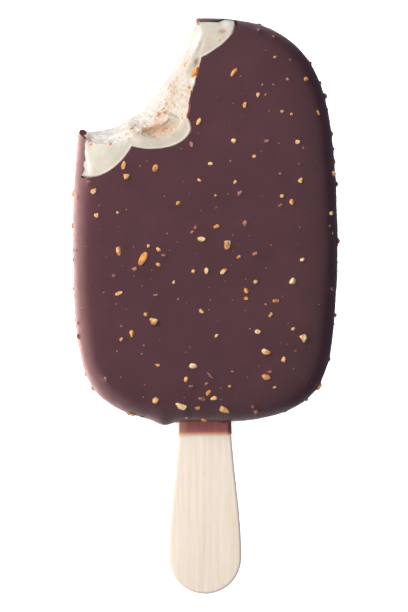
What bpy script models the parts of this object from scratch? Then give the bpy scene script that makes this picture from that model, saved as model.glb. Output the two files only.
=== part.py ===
"""A chocolate-coated ice cream bar on a wooden paddle stick, bitten at its upper left corner, lying on its back.

Frame: metres, +Z up. The bar lies flat with its front face up, its rounded top towards +Y and its stick
towards -Y. The origin is on the surface that it lies on, at the middle of the whole length and width.
"""

import math

import bmesh
import bpy
from mathutils import Vector

MM = 0.001

# Bar: two half superellipses that meet at the widest line, the taller one being the rounded top. Each one's
# form is its power across, its power along, and the share of its width lost by its far end.
BAR_WIDTH = 61.6 * MM
DOME_HEIGHT = 54.0 * MM  # from the widest line up to the top
FOOT_HEIGHT = 40.1 * MM  # from the widest line down to the end with the stick
DOME_FORM = (2.3, 6.5, 0.157)
FOOT_FORM = (2.8, 7.0, 0.125)
BAR_THICKNESS = 22.0 * MM
EDGE_REACH = 6.0 * MM  # how far the rounding of the side comes in over a face
EDGE_POWER = 2.3
CROWN = 0.5 * MM  # how much a face rises from its edge to its middle
CROWN_REACH = 9.0 * MM  # over which width it rises

# Coating and the gaps that keep the solids apart.
COATING = 1.3 * MM
GAP = 0.3 * MM

# Stick: a round handle end, a long taper and a narrow shank with a round end inside the bar.
STICK_LENGTH = 94.0 * MM
STICK_SHOWING = 40.0 * MM
STICK_THICKNESS = 2.2 * MM
HANDLE_WIDTH = 16.8 * MM
SHANK_WIDTH = 11.8 * MM
TAPER_END = 43.4 * MM  # from the handle's tip to where the shank's width starts
STICK_ROUNDING = 0.7 * MM

# Fineness of the faceted solids.
OUTLINE_POINTS = 80
SIDE_STEPS = 10
CUT_POINTS = 40
STICK_ARC_STEPS = 12
STICK_TAPER_STEPS = 10

# Places that follow from the sizes above.
TOTAL_LENGTH = DOME_HEIGHT + FOOT_HEIGHT + STICK_SHOWING
STICK_TIP_Y = -TOTAL_LENGTH / 2
WIDEST_Y = STICK_TIP_Y + STICK_SHOWING + FOOT_HEIGHT
MIDDLE_Z = BAR_THICKNESS / 2

# Tooth cuts, as (centre, radii, lean): slanted oval columns. The centre is at the front face, and the lean
# is how far the column's centre has moved outwards at the back face. The last one is the mouth's middle.
TOOTH_CUTS = (
    ((-23.7, 46.5), (10.5, 9.5), (-1.5, 5.0)),
    ((-11.2, 46.5), (8.5, 8.2), (-8.7, 6.8)),
    ((-10.7, 52.0), (7.0, 9.0), (-8.5, 3.5)),
    ((-9.5, 64.5), (8.5, 9.5), (-2.6, 0.5)),
    ((-24.0, 63.7), (22.0, 22.0), (-3.0, 3.0)),
)

# Scallops where the front coating broke away, as (centre, radii, turn in degrees).
SCALLOPS = (
    ((-26.5, 45.6), (12.0, 16.1), -7.5),
    ((-12.7, 41.4), (9.5, 5.2), -1.8),
    ((-2.7, 68.2), (4.3, 30.9), -11.5),
    ((-2.5, 61.1), (10.9, 4.1), 26.9),
)
RIM_LEFT = 1.8 * MM  # width of the side coating that stands round the scallops, seen from the front
SCALLOP_FLOOR_Z = 12.0 * MM
CUT_OVERRUN = 3.0 * MM


def clear_scene():
    for obj in list(bpy.data.objects):
        bpy.data.objects.remove(obj, do_unlink=True)


def food_material(name, colour, roughness):
    """A Principled material of one colour, given as linear red, green and blue."""
    material = bpy.data.materials.new(name)
    material.use_nodes = True
    shader = material.node_tree.nodes["Principled BSDF"]
    shader.inputs["Base Color"].default_value = (*colour, 1.0)
    shader.inputs["Roughness"].default_value = roughness
    shader.inputs["Metallic"].default_value = 0.0
    return material


def signed_power(value, power):
    return math.copysign(abs(value) ** power, value)


def inside_outline(across, along, form, half_width, height):
    """Whether a point lies within one half of the outline. Both distances from the middle are positive."""
    power_across, power_along, narrowing = form
    rise = along / height
    if rise >= 1:
        return False
    width = half_width * (1 - narrowing * rise ** 2)
    return (across / width) ** power_across + rise ** power_along < 1


def outline_point(angle, inset):
    """The outline's point on a ray from the middle of the widest line, both half axes shortened by inset."""
    upper = math.sin(angle) > 0
    form = DOME_FORM if upper else FOOT_FORM
    height = (DOME_HEIGHT if upper else FOOT_HEIGHT) - inset
    half_width = BAR_WIDTH / 2 - inset
    ray = Vector((math.cos(angle), math.sin(angle)))
    low = 0.0
    high = 2 * DOME_HEIGHT
    for _ in range(40):
        reach = (low + high) / 2
        if inside_outline(abs(ray.x) * reach, abs(ray.y) * reach, form, half_width, height):
            low = reach
        else:
            high = reach
    return ray * low + Vector((0.0, WIDEST_Y))


def even_angles(count):
    """Angles that place count points at even steps along the outline."""
    fine = [2 * math.pi * i / (count * 20) for i in range(count * 20 + 1)]
    points = [outline_point(angle, 0.0) for angle in fine]
    lengths = [0.0]
    for here, there in zip(points, points[1:]):
        lengths.append(lengths[-1] + (there - here).length)
    angles = []
    index = 0
    for i in range(count):
        while lengths[index] < lengths[-1] * i / count:
            index += 1
        angles.append(fine[index])
    return angles


def side_section(skin):
    """(inset, z) from the back face round the side to the front face, skin inside the bar's surface."""
    half = BAR_THICKNESS / 2 - skin
    section = []
    for i in range(SIDE_STEPS + 1):
        angle = math.pi * (i / SIDE_STEPS - 0.5)
        inset = skin + EDGE_REACH * (1 - abs(math.cos(angle)) ** (2 / EDGE_POWER))
        z = MIDDLE_Z + (half - CROWN) * signed_power(math.sin(angle), 2 / EDGE_POWER)
        section.append((inset, z))
    crown = []
    for share in (0.5, 1.0):
        rise = CROWN * (1 - (1 - share) ** 2)
        crown.append((skin + EDGE_REACH + CROWN_REACH * share, half - CROWN + rise))
    back = [(inset, MIDDLE_Z - rise) for inset, rise in reversed(crown)]
    front = [(inset, MIDDLE_Z + rise) for inset, rise in crown]
    return back + section + front


def solid_of_rings(name, rings):
    """One closed object whose side joins the rings in turn and whose ends are capped."""
    mesh = bmesh.new()
    loops = []
    for ring in rings:
        corners = [mesh.verts.new(point) for point in ring]
        loops.append([mesh.edges.new((corners[i - 1], corners[i])) for i in range(len(corners))])
    for low, high in zip(loops, loops[1:]):
        bmesh.ops.bridge_loops(mesh, edges=low + high)
    bmesh.ops.holes_fill(mesh, edges=loops[0] + loops[-1])
    bmesh.ops.recalc_face_normals(mesh, faces=mesh.faces)
    data = bpy.data.meshes.new(name)
    mesh.to_mesh(data)
    mesh.free()
    obj = bpy.data.objects.new(name, data)
    bpy.context.scene.collection.objects.link(obj)
    return obj


def bar_solid(name, skin):
    """The whole bar's rounded form, skin inside its surface."""
    angles = even_angles(OUTLINE_POINTS)
    rings = []
    for inset, z in side_section(skin):
        rings.append([(*outline_point(angle, inset), z) for angle in angles])
    return solid_of_rings(name, rings)


def oval_points(centre, radii, turn, z):
    """A turned oval at height z. Centre and radii are in millimetres."""
    points = []
    for i in range(CUT_POINTS):
        angle = 2 * math.pi * i / CUT_POINTS
        across = radii[0] * math.cos(angle)
        along = radii[1] * math.sin(angle)
        x = centre[0] + across * math.cos(turn) - along * math.sin(turn)
        y = centre[1] + across * math.sin(turn) + along * math.cos(turn)
        points.append((x * MM, y * MM, z))
    return points


def as_cutter(obj):
    obj.hide_render = True
    obj.display_type = "WIRE"
    return obj


def tooth_cutter(name, centre, radii, lean):
    """A slanted oval column through the whole thickness, leaning outwards towards the back."""
    rings = []
    for z in (-CUT_OVERRUN, BAR_THICKNESS + CUT_OVERRUN):
        depth = (BAR_THICKNESS - z) / BAR_THICKNESS
        middle = (centre[0] + lean[0] * depth, centre[1] + lean[1] * depth)
        rings.append(oval_points(middle, radii, 0.0, z))
    return as_cutter(solid_of_rings(name, rings))


def rim_limit():
    """An upright prism of the bar's outline, inset by the rim that stays round the scallops."""
    angles = even_angles(OUTLINE_POINTS)
    rings = []
    for z in (SCALLOP_FLOOR_Z, BAR_THICKNESS + CUT_OVERRUN):
        rings.append([(*outline_point(angle, RIM_LEFT), z) for angle in angles])
    return as_cutter(solid_of_rings("rim_limit", rings))


def scallop_cutter(name, centre, radii, turn, limit):
    """An upright oval column over the front face, kept clear of the rim."""
    rings = []
    for z in (SCALLOP_FLOOR_Z - CUT_OVERRUN, BAR_THICKNESS + 2 * CUT_OVERRUN):
        rings.append(oval_points(centre, radii, math.radians(turn), z))
    cutter = as_cutter(solid_of_rings(name, rings))
    add_boolean(cutter, limit, "INTERSECT")
    return cutter


def add_boolean(obj, other, operation="DIFFERENCE"):
    modifier = obj.modifiers.new(f"{operation.lower()} {other.name}", "BOOLEAN")
    modifier.operation = operation
    modifier.object = other
    modifier.solver = "EXACT"


def stick_half_width(distance):
    """Half the stick's width at a distance from the handle's tip, outside its two round ends."""
    start = HANDLE_WIDTH / 2
    share = min(1.0, max(0.0, (distance - start) / (TAPER_END - start)))
    ease = (1 - math.cos(math.pi * share)) / 2
    return (HANDLE_WIDTH + (SHANK_WIDTH - HANDLE_WIDTH) * ease) / 2


def stick_outline(grow):
    """The stick's outline, anticlockwise from the handle's left side, grown outwards by grow."""
    handle = HANDLE_WIDTH / 2 + grow
    shank = SHANK_WIDTH / 2 + grow
    handle_y = STICK_TIP_Y + HANDLE_WIDTH / 2
    shank_y = STICK_TIP_Y + STICK_LENGTH - SHANK_WIDTH / 2
    points = []
    for i in range(STICK_ARC_STEPS + 1):
        angle = math.pi * (1 + i / STICK_ARC_STEPS)
        points.append((handle * math.cos(angle), handle_y + handle * math.sin(angle)))
    right = []
    for i in range(1, STICK_TAPER_STEPS + 1):
        distance = HANDLE_WIDTH / 2 + (TAPER_END - HANDLE_WIDTH / 2) * i / STICK_TAPER_STEPS
        right.append((stick_half_width(distance) + grow, STICK_TIP_Y + distance))
    points += right
    for i in range(STICK_ARC_STEPS + 1):
        angle = math.pi * i / STICK_ARC_STEPS
        points.append((shank * math.cos(angle), shank_y + shank * math.sin(angle)))
    points += [(-x, y) for x, y in reversed(right)]
    return points


def stick_solid(name, grow):
    """A flat slab of the stick's outline at the bar's mid-thickness."""
    half = STICK_THICKNESS / 2 + grow
    levels = (MIDDLE_Z - half, MIDDLE_Z + half)
    return solid_of_rings(name, [[(x, y, z) for x, y in stick_outline(grow)] for z in levels])


def make_stick():
    stick = stick_solid("stick", 0.0)
    rounding = stick.modifiers.new("rounded edges", "BEVEL")
    rounding.width = STICK_ROUNDING
    rounding.segments = 3
    rounding.limit_method = "ANGLE"
    rounding.angle_limit = math.radians(60)
    stick.data.materials.append(food_material("birch", (0.86, 0.72, 0.58), 0.6))
    return stick


def make_bar():
    """The coating and the ice cream inside it, both cut by the teeth and fitted round the stick."""
    coating = bar_solid("chocolate_coating", 0.0)
    ice_cream = bar_solid("ice_cream", COATING + GAP)
    hollow = as_cutter(bar_solid("hollow", COATING))
    slot = as_cutter(stick_solid("stick_slot", GAP))
    teeth = [tooth_cutter(f"tooth_cut_{i}", *cut) for i, cut in enumerate(TOOTH_CUTS, 1)]
    limit = rim_limit()
    scallops = [scallop_cutter(f"scallop_{i}", *cut, limit) for i, cut in enumerate(SCALLOPS, 1)]
    for cutter in [hollow, slot, *teeth, *scallops]:
        add_boolean(coating, cutter)
    for cutter in [slot, *teeth]:
        add_boolean(ice_cream, cutter)
    coating.data.materials.append(food_material("milk_chocolate", (0.10, 0.045, 0.05), 0.4))
    ice_cream.data.materials.append(food_material("almond_ice_cream", (0.84, 0.75, 0.62), 0.6))
    return coating, ice_cream


def main():
    clear_scene()
    make_stick()
    for piece in make_bar():
        piece.data.shade_smooth()
        piece.data.set_sharp_from_angle(angle=math.radians(35))


main()
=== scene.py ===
"""An almond ice cream bar on a paddle stick, dipped in milk chocolate and bitten at its upper left corner.

It lies on its back with its front face up, its rounded top towards +Y and its stick towards -Y. Sizes are in
metres, and tables of places are in millimetres.
"""

import math

import bpy
import numpy as np
from mathutils import Matrix, Vector, noise


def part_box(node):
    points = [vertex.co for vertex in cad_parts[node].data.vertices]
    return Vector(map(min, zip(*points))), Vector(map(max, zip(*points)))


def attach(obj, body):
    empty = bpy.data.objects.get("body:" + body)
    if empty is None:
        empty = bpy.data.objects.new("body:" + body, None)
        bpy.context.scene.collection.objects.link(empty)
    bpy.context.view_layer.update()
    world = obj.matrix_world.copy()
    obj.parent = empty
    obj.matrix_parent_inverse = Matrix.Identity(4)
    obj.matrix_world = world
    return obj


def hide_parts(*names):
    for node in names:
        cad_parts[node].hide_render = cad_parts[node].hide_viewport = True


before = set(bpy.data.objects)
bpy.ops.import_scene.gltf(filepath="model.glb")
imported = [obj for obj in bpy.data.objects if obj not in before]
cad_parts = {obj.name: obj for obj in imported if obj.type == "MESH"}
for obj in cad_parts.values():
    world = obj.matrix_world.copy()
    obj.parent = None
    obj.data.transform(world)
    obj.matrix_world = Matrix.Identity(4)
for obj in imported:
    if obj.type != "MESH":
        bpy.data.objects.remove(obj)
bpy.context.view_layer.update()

MM = 0.001

# The bar's form: two half superellipses that meet at its widest line. Each form is its power across, its
# power along, and the share of its width lost by its far end.
bar_low, bar_high = (Vector(corner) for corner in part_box("chocolate_coating"))
stick_low, stick_high = (Vector(corner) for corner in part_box("stick"))
HALF_WIDTH = (bar_high.x - bar_low.x) / 2
HALF_THICKNESS = (bar_high.z - bar_low.z) / 2
MIDDLE_Z = bar_low.z + HALF_THICKNESS
FOOT_HEIGHT = 40.1 * MM
WIDEST_Y = bar_low.y + FOOT_HEIGHT
DOME_HEIGHT = bar_high.y - WIDEST_Y
DOME_FORM = (2.3, 6.5, 0.157)
FOOT_FORM = (2.8, 7.0, 0.125)
SIDE_REACH = 15.0 * MM  # how far the rounding of the side comes in over a face
SIDE_POWERS = (4.0, 3.0)  # of the side's section, across and up
DOME_COLUMNS = 162  # steps along each quarter of the coating's outline
FOOT_COLUMNS = 118

PIECE_GROWTH = (1.1, 1.05, 1.15)  # of an almond piece over its listed size, along, across and up
COATING = 1.3 * MM
CREAM_SKIN = 1.25 * MM  # a hair less than the coating, so that no gap shows at the broken edges

# The stick, and the chocolate film that ran down it.
HANDLE_WIDTH = 16.8 * MM
SHANK_WIDTH = 11.8 * MM
TAPER_END = 43.4 * MM
STICK_MIDDLE_Z = (stick_low.z + stick_high.z) / 2
STICK_HALF = (stick_high.z - stick_low.z) / 2
STICK_ROUNDING = 0.7 * MM
FILM_THICKNESS = 0.12 * MM
FILM_LENGTH = 3.1 * MM

# Tooth cuts, as (centre at the front face, radii, lean towards the back, share of the lean that the coating
# follows).
TOOTH_CUTS = (
    ((-23.7, 46.5), (10.5, 9.5), (-1.5, 5.0), 0.8),
    ((-11.2, 46.5), (7.8, 8.2), (-8.7, 6.8), 0.8),
    ((-10.7, 52.0), (7.0, 9.0), (-8.5, 3.5), 0.8),
    ((-9.5, 64.5), (8.5, 9.5), (-2.6, 0.5), 0.5),
    ((-24.0, 63.7), (22.0, 22.0), (-3.0, 3.0), 0.6),
)
LEFT_WALL_RISE = 0.6 * MM  # how much higher the coating's left side stands beside the bite

# Scallops where the front coating flaked away, as (centre, radii, turn in degrees).
SCALLOPS = (
    ((-26.5, 45.6), (12.0, 16.1), -7.5),
    ((-12.7, 41.4), (9.5, 5.2), -1.8),
    ((-2.7, 68.2), (4.3, 30.9), -11.5),
    ((-2.5, 61.1), (10.9, 4.1), 26.9),
)
CRUMBLED_SCALLOP = 2  # the one whose edge crumbled
# Width of the side coating that stands round the scallops, seen from the front.
RIM_LEFT = 1.65 * MM
RIM_TOP = 1.15 * MM
RIM_TOP_THIN = 0.3 * MM
RIM_SLANT = 0.05  # how much wider the rim gets for each unit of depth
SCALLOP_FLOOR_Z = 12.0 * MM

# Almond pieces on the front face, as (x, y, length, width, turn in degrees).
BARE_ALMONDS = (
    (-19.9, 12.8, 2.4, 1.2, 100), (-14.3, 10.9, 3.3, 1.7, 62), (-13.1, 13.8, 0.9, 0.9, 0),
    (-10.7, 13.0, 1.3, 0.9, 130), (-10.7, 9.5, 1.3, 0.8, 150), (-0.9, 15.4, 2.0, 1.2, 0),
    (5.1, 14.2, 2.4, 1.8, 90), (2.6, 18.3, 1.3, 1.1, 20), (22.0, 28.8, 1.6, 1.2, 60),
    (20.0, 23.9, 1.5, 1.2, 100), (17.7, 25.3, 1.0, 0.9, 0), (-6.2, 23.7, 1.2, 0.9, 60),
    (-25.0, 20.9, 1.4, 1.1, 90), (-25.6, 26.5, 1.5, 1.3, 40), (-20.2, 21.5, 0.8, 0.7, 0),
    (-2.7, 8.0, 1.0, 0.9, 60), (0.3, 8.1, 1.5, 1.0, 90), (4.3, 8.1, 2.1, 1.1, 45),
    (7.8, 11.3, 1.1, 0.8, 30), (22.4, 10.7, 1.2, 0.8, 20), (20.1, 5.6, 1.8, 1.5, 80),
    (11.6, 5.6, 1.2, 0.9, 10), (9.5, 3.5, 1.4, 1.0, 120), (9.5, 1.7, 1.2, 1.0, 0),
    (16.4, 1.2, 1.7, 1.0, 0), (15.1, -2.0, 1.2, 0.9, 60), (-7.2, 5.4, 1.0, 0.7, 80),
    (-19.9, 2.9, 1.8, 0.9, 22), (-0.9, -1.1, 1.6, 0.9, -40), (-13.6, -1.9, 1.2, 1.0, 0),
    (-11.8, -3.5, 2.2, 1.8, -15), (-16.9, -6.4, 1.6, 1.2, 95), (-19.4, -7.7, 1.2, 0.9, 60),
    (2.6, -6.9, 1.2, 0.8, 40), (12.1, -5.9, 1.4, 1.1, 0), (20.3, -5.2, 1.0, 0.8, 0),
    (22.6, -7.3, 2.3, 1.7, 120), (14.1, -10.5, 2.1, 1.5, -15), (18.0, -12.4, 1.5, 1.0, 80),
    (-2.8, -13.8, 2.0, 1.2, -8), (-11.0, -13.6, 1.4, 0.7, 0), (14.1, -16.3, 2.3, 1.5, -35),
    (16.0, -18.7, 0.9, 0.7, 0), (-4.4, -16.9, 1.3, 1.0, 80), (5.6, -18.4, 1.0, 0.8, 0),
    (0.7, -20.0, 1.7, 1.0, 45), (2.0, -21.2, 1.6, 1.2, 0), (-11.4, -21.6, 1.8, 1.3, 60),
    (-5.4, -23.0, 3.1, 1.6, -20), (-1.7, -23.4, 1.2, 1.0, 0), (4.3, -23.8, 3.0, 1.5, -40),
    (-17.0, -24.9, 1.7, 0.9, -5), (-25.6, -20.0, 1.2, 0.9, 60), (6.6, 53.8, 2.3, 1.0, 50),
    (16.1, 57.4, 0.9, 0.7, 0), (12.2, 48.7, 1.3, 0.9, 60), (9.2, 46.3, 1.4, 1.1, 80),
    (17.7, 44.9, 1.0, 0.8, 0), (-1.5, 42.4, 1.9, 1.0, 65), (6.5, 38.0, 1.3, 1.1, 20),
    (21.3, 37.8, 1.2, 1.0, 0), (19.9, 44.2, 0.8, 0.7, 0), (-18.8, 32.4, 1.9, 1.1, 82),
    (-18.2, 29.9, 1.7, 1.5, 30), (-11.5, 31.7, 1.8, 1.3, 70), (1.2, 32.8, 1.2, 0.8, 0),
    (11.3, 34.5, 1.0, 0.8, 0), (6.9, 28.6, 1.0, 0.8, 60), (-1.3, 29.0, 1.0, 0.7, 150),
    (2.4, 25.4, 0.9, 0.7, 0),
)
GLAZED_ALMONDS = (
    (-16.2, 8.6, 1.5, 1.0, 20), (-9.6, 11.7, 1.0, 0.8, 0), (-2.2, 18.1, 1.3, 0.9, 80),
    (-3.0, 17.0, 1.1, 0.8, 30), (9.0, 19.0, 1.7, 1.2, 60), (17.3, 23.2, 1.1, 0.9, 0),
    (11.5, 12.1, 1.3, 0.9, 30), (-11.4, 2.6, 1.1, 0.6, 0), (-19.3, -4.7, 1.0, 0.8, 0),
    (14.9, -15.2, 1.3, 0.9, 0), (-0.7, -21.2, 2.1, 1.2, -20), (11.2, -23.1, 1.2, 0.9, 0),
    (11.8, -24.2, 1.4, 1.0, 40), (-3.2, -18.4, 1.1, 0.9, 0), (0.2, -17.8, 1.2, 0.8, 30),
    (1.1, -15.9, 2.2, 0.7, -45), (13.9, 48.7, 0.8, 0.7, 0), (19.1, 52.3, 1.0, 0.8, 0),
    (14.2, 38.0, 1.3, 0.9, 0), (-3.1, 37.2, 1.4, 0.9, 110), (-26.7, 28.6, 1.2, 0.9, 0),
    (7.9, 26.0, 1.6, 1.1, 40), (-21.0, 7.0, 0.9, 0.8, 0),
)

# Almond pieces in the bitten ice cream, in the same way.
TORN_ALMONDS = (
    (-2.2, 54.0, 3.0, 1.7, 61), (-16.4, 42.2, 0.8, 0.5, 70), (-17.1, 41.3, 0.7, 0.5, 30),
    (-14.3, 42.8, 0.8, 0.5, 20), (-18.2, 39.7, 0.7, 0.6, 90), (-19.9, 39.1, 0.5, 0.4, 0),
    (-21.9, 37.4, 0.7, 0.9, 80), (-26.4, 37.4, 0.9, 0.5, 10), (-13.8, 41.0, 0.9, 0.5, 30),
    (-12.4, 41.8, 1.0, 0.5, 20), (-10.7, 42.2, 0.8, 0.5, 0), (-10.5, 44.0, 0.8, 0.6, 50),
    (-7.6, 47.4, 0.8, 0.6, 40), (-9.6, 46.2, 0.9, 0.5, 30), (-3.7, 50.5, 1.0, 0.7, 110),
    (-3.3, 49.3, 1.0, 0.5, 90), (-5.3, 44.4, 0.5, 0.5, 0), (-5.2, 43.4, 0.6, 0.4, 90),
    (-7.7, 51.3, 0.7, 0.6, 20), (-4.7, 56.1, 1.0, 0.5, 100), (4.2, 63.5, 0.9, 0.5, 0),
    (3.3, 61.4, 0.5, 0.4, 0), (-7.2, 49.6, 0.6, 0.4, 60), (-8.6, 45.3, 0.5, 0.5, 0),
    (-10.0, 45.2, 0.6, 0.4, 70), (-6.6, 52.9, 0.5, 0.4, 0), (-12.2, 44.6, 0.5, 0.4, 40),
    (-15.5, 40.2, 0.5, 0.4, 0), (-17.6, 38.6, 0.5, 0.4, 60), (-9.0, 48.2, 0.5, 0.4, 0),
)

# Marks on the ice cream, as (centre, radii, turn in degrees, strength).
# Painted shade: dents and creases of the torn ice cream, darkened to a warm tan.
HOLLOW_SHADE_SPOTS = (
    ((-10.4, 40.7), (4.2, 1.7), 18.0, 0.55),
    ((-12.4, 41.5), (2.6, 0.8), 24.0, 0.9),
    ((-26.7, 38.9), (0.7, 1.9), 10.0, 0.35),
    ((-1.7, 56.2), (0.6, 0.8), -30.0, 0.6),
    ((0.5, 61.0), (1.3, 2.4), -15.0, 0.12),
    ((-1.0, 60.2), (0.3, 1.8), -20.0, 0.25),
    ((4.3, 63.4), (1.0, 0.45), 0.0, 0.55),
)
SPECKED_SPOTS = (
    ((-10.2, 44.9), (3.2, 2.0), 30.0, 1.0),
    ((-8.6, 47.2), (2.6, 2.4), 40.0, 1.0),
    ((-7.4, 50.9), (1.9, 3.0), 0.0, 0.9),
    ((-16.5, 41.0), (3.6, 3.0), 40.0, 0.6),
    ((-22.0, 38.5), (4.5, 1.4), 0.0, 0.5),
    ((-10.4, 40.7), (4.4, 2.0), 18.0, 0.8),
    ((-4.8, 46.5), (1.4, 5.0), 0.0, 0.5),
    ((-3.9, 55.5), (1.8, 3.0), 0.0, 0.5),
)
# Painted light: spots of the ice cream lightened towards white, as if lit more strongly.
PAINTED_LIGHT_SPOTS = (
    ((-27.3, 34.0), (0.7, 4.5), 10.0, 0.7),
    ((4.7, 64.9), (1.1, 1.6), 0.0, 0.5),
    ((-1.9, 61.9), (0.9, 2.4), -20.0, 0.9),
    ((-16.3, 39.6), (1.5, 2.4), 20.0, 0.5),
    ((-22.0, 40.0), (6.0, 2.4), 0.0, 0.9),
    ((-2.3, 51.7), (0.8, 1.0), 0.0, 0.7),
)
RAISED_SPOTS = (
    ((-2.4, 51.6), (0.9, 1.1), 0.0, 1.1),
    ((-27.6, 40.6), (1.6, 1.2), 20.0, 1.2),
)
DENTED_SPOTS = (
    ((-26.6, 38.6), (0.9, 2.2), 10.0, 0.8),
    ((-1.7, 56.2), (0.7, 0.9), -30.0, 0.7),
    ((4.3, 63.4), (1.0, 0.5), 0.0, 0.6),
    ((-1.0, 60.2), (0.5, 2.0), -20.0, 0.3),
)
# The oval bowl that stands out of the wall behind the middle scallop, within its own ridge.
BOWL = ((-10.6, 40.9), (5.9, 3.2), 18.0)
BOWL_RIDGE_Z = 18.6 * MM
BOWL_DEPTH = 2.1 * MM
BOWL_RIDGE_SHARES = (0.72, 0.86)  # where the ridge begins and ends, as shares of the radii

BODY = "root"


# ---- Hands: selecting, shaping and finishing a mesh ----

def deselect_all():
    bpy.ops.object.select_all(action="DESELECT")


def take_up(piece):
    """Makes a piece the one selected and active object."""
    deselect_all()
    piece.select_set(True)
    bpy.context.view_layer.objects.active = piece


def named(name):
    """Names the object that was just added."""
    piece = bpy.context.object
    piece.name = name
    piece.data.name = name
    return piece


def points_of(piece):
    flat = np.empty(len(piece.data.vertices) * 3)
    piece.data.vertices.foreach_get("co", flat)
    return flat.reshape(-1, 3)


def set_points(piece, points):
    piece.data.vertices.foreach_set("co", points.ravel())
    piece.data.update()


def normals_of(piece):
    flat = np.empty(len(piece.data.vertices) * 3)
    piece.data.vertices.foreach_get("normal", flat)
    return flat.reshape(-1, 3)


def apply_modifier(piece, kind, **settings):
    """Adds a modifier with its settings and applies it."""
    take_up(piece)
    modifier = piece.modifiers.new(kind.lower(), kind)
    for name, value in settings.items():
        setattr(modifier, name, value)
    bpy.ops.object.modifier_apply(modifier=modifier.name)


def cut_with(piece, cutter, operation="DIFFERENCE"):
    apply_modifier(piece, "BOOLEAN", operation=operation, object=cutter, solver="EXACT",
                   material_mode="TRANSFER")
    bpy.data.objects.remove(cutter)


def clothe(piece, material):
    """Gives every face of a piece one material."""
    piece.data.materials.clear()
    piece.data.materials.append(material)
    piece.data.polygons.foreach_set("material_index", [0] * len(piece.data.polygons))
    piece.data.update()


def select_points(piece, chosen):
    """Selects the chosen points alone and enters edit mode."""
    take_up(piece)
    bpy.ops.object.mode_set(mode="EDIT")
    bpy.ops.mesh.select_mode(type="VERT")
    bpy.ops.mesh.select_all(action="DESELECT")
    bpy.ops.object.mode_set(mode="OBJECT")
    piece.data.vertices.foreach_set("select", chosen)
    bpy.ops.object.mode_set(mode="EDIT")


def close_ends(piece, span):
    """Welds the rolled sheet's seam and fills both of its open ends with a grid of faces."""
    take_up(piece)
    bpy.ops.object.mode_set(mode="EDIT")
    bpy.ops.mesh.select_all(action="SELECT")
    bpy.ops.mesh.remove_doubles(threshold=0.0001 * MM)
    bpy.ops.object.mode_set(mode="OBJECT")
    heights = points_of(piece)[:, 2]
    middle = (heights.min() + heights.max()) / 2
    for above in (False, True):
        bpy.ops.object.mode_set(mode="EDIT")
        bpy.ops.mesh.select_mode(type="VERT")
        bpy.ops.mesh.select_all(action="DESELECT")
        bpy.ops.mesh.select_non_manifold()
        bpy.ops.object.mode_set(mode="OBJECT")
        rim = np.empty(len(piece.data.vertices), bool)
        piece.data.vertices.foreach_get("select", rim)
        select_points(piece, rim & ((points_of(piece)[:, 2] > middle) == above))
        bpy.ops.mesh.fill_grid(span=span)
        bpy.ops.object.mode_set(mode="OBJECT")
    bpy.ops.object.mode_set(mode="EDIT")
    bpy.ops.mesh.select_all(action="SELECT")
    bpy.ops.mesh.normals_make_consistent(inside=False)
    bpy.ops.object.mode_set(mode="OBJECT")


def mark_points(piece, marks):
    """Writes a value at each point under each name, for the piece's material to read."""
    for name, values in marks.items():
        attribute = piece.data.attributes.new(name, "FLOAT", "POINT")
        attribute.data.foreach_set("value", values.astype(np.float32))


def fractal(points, size, seed, octaves=3):
    """Soft noise between about -1 and 1 at each point, its largest lumps about size across."""
    shift = Vector((seed * 7.3, seed * 3.1, seed * 5.7))
    return np.array([noise.fractal(Vector(point) / size + shift, 1.0, 2.0, octaves) for point in points])


def smooth_step(value, start, end):
    share = np.clip((value - start) / (end - start), 0.0, 1.0)
    return share * share * (3 - 2 * share)


# ---- The bar's form ----

def quarter_outline(form, height, count):
    """Unit positions across and along, from the widest line to the far end, at even steps of the outline."""
    power_across, power_along, narrowing = form
    share = np.linspace(0.0, 1.0, 3001)
    across = np.concatenate(((1 - share ** power_along) ** (1 / power_across), share))
    along = np.concatenate((share, (1 - share ** power_across) ** (1 / power_along)))
    order = np.argsort(np.arctan2(along * height, across * HALF_WIDTH))
    across, along = across[order], along[order]
    x = HALF_WIDTH * (1 - narrowing * along ** 2) * across
    lengths = np.concatenate(([0.0], np.cumsum(np.hypot(np.diff(x), np.diff(height * along)))))
    even = np.linspace(0.0, lengths[-1], count + 1)
    return np.interp(even, lengths, across), np.interp(even, lengths, along)


def outline_columns(dome_count, foot_count):
    """Unit positions all round the outline, anticlockwise from the right end of the widest line."""
    dome_across, dome_along = quarter_outline(DOME_FORM, DOME_HEIGHT, dome_count)
    foot_across, foot_along = quarter_outline(FOOT_FORM, FOOT_HEIGHT, foot_count)
    across = np.concatenate((dome_across[:-1], -dome_across[:0:-1], -foot_across[:-1], foot_across[:0:-1]))
    along = np.concatenate((dome_along[:-1], dome_along[:0:-1], -foot_along[:-1], -foot_along[:0:-1]))
    return across, along


def ring(columns, inset):
    """The outline with both half axes shortened by inset."""
    across, along = columns
    narrowing = np.where(along > 0, DOME_FORM[2], FOOT_FORM[2])
    height = np.where(along > 0, DOME_HEIGHT, FOOT_HEIGHT)
    x = (HALF_WIDTH - inset) * (1 - narrowing * along ** 2) * across
    return x, WIDEST_Y + (height - inset) * along


def side_section(skin, back_step, front_step):
    """(inset, z) from the back face round the side to the front face, skin below the bar's surface."""
    turn = np.linspace(-math.pi / 2, math.pi / 2, 4001)
    inset = skin + SIDE_REACH * (1 - np.abs(np.cos(turn)) ** (2 / SIDE_POWERS[0]))
    rise = np.sign(turn) * np.abs(np.sin(turn)) ** (2 / SIDE_POWERS[1])
    z = MIDDLE_Z + (HALF_THICKNESS - skin) * rise
    lengths = np.concatenate(([0.0], np.cumsum(np.hypot(np.diff(inset), np.diff(z)))))
    middle = lengths[-1] / 2
    back = np.linspace(0.0, middle, round(middle / back_step) + 1)
    front = np.linspace(middle, lengths[-1], round(middle / front_step) + 1)
    even = np.concatenate((back[:-1], front))
    return np.interp(even, lengths, inset), np.interp(even, lengths, z)


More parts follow.
